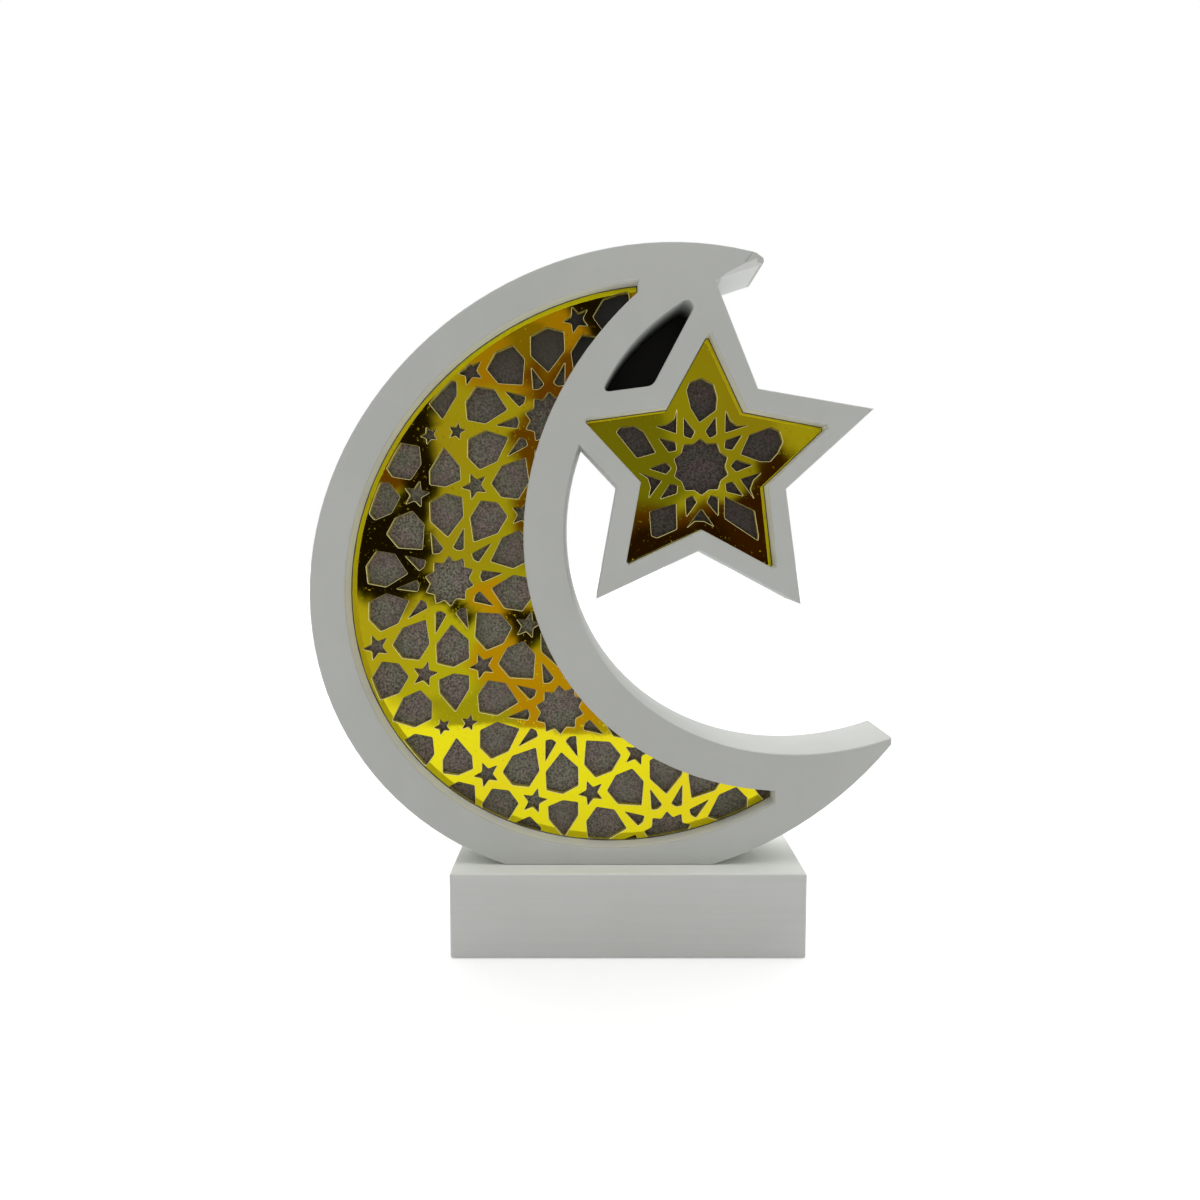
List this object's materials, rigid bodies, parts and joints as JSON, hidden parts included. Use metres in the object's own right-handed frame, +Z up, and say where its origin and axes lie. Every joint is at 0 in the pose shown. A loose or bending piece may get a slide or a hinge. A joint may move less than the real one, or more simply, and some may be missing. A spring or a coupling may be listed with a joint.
{
  "type": "eid crescent ornament",
  "caption": "Table ornament: painted crescent and star board on a block, with lit windows of gold mirror fretwork over a speckled diffuser.",
  "frame": {"origin": "centre of the bounding box in plan, at the level of the block's underside", "axes": "+Z up, +Y to the rear, +X to the right as seen from the front"},
  "size_m": [0.1984, 0.0444, 0.2396],
  "materials": {
    "paint": "satin light grey paint on wood",
    "gold_mirror": "polished gold",
    "diffuser": "frosted, speckled",
    "cover_paint": "satin black paint",
    "board_white": "satin",
    "led": "gloss",
    "screw_steel": "zinc plated",
    "black_plastic": "satin",
    "cell_wrap": "gloss sleeve",
    "contact": "bright nickel",
    "switch_base": "satin",
    "lead_red": "satin",
    "lead_black": "satin"
  },
  "bodies": {
    "ornament": {"moon_star_frame": "paint", "crescent_fretwork": "gold_mirror", "star_fretwork": "gold_mirror", "crescent_diffuser": "diffuser", "star_diffuser": "diffuser", "crescent_led_strip": "board_white", "crescent_leds": "led", "star_led_board": "board_white", "star_leds": "led", "rear_cover": "cover_paint", "cover_screws": "screw_steel", "base_block": "paint", "frame_screws": "screw_steel", "battery_box": "black_plastic", "battery_cell_1": "cell_wrap", "battery_cell_2": "cell_wrap", "battery_cell_3": "cell_wrap", "cell_springs": "contact", "cell_plates": "contact", "switch_frame": "contact", "switch_body": "switch_base", "switch_screws": "screw_steel", "lead_red": "lead_red", "lead_black": "lead_black", "lead_switch": "lead_black", "lead_star": "board_white"},
    "door": {"battery_door": "black_plastic"},
    "slider": {"switch_slider": "black_plastic"}
  },
  "joints": [
    {"name": "door_hinge", "type": "hinge", "parent": "ornament", "child": "door", "pos_m": [-0.01435, 0, 0.0014], "axis": [0, 1, 0], "range_deg": [0, 80]},
    {"name": "switch_slide", "type": "slide", "parent": "ornament", "child": "slider", "axis": [1, 0, 0], "range_m": [0, 0.002]}
  ]
}
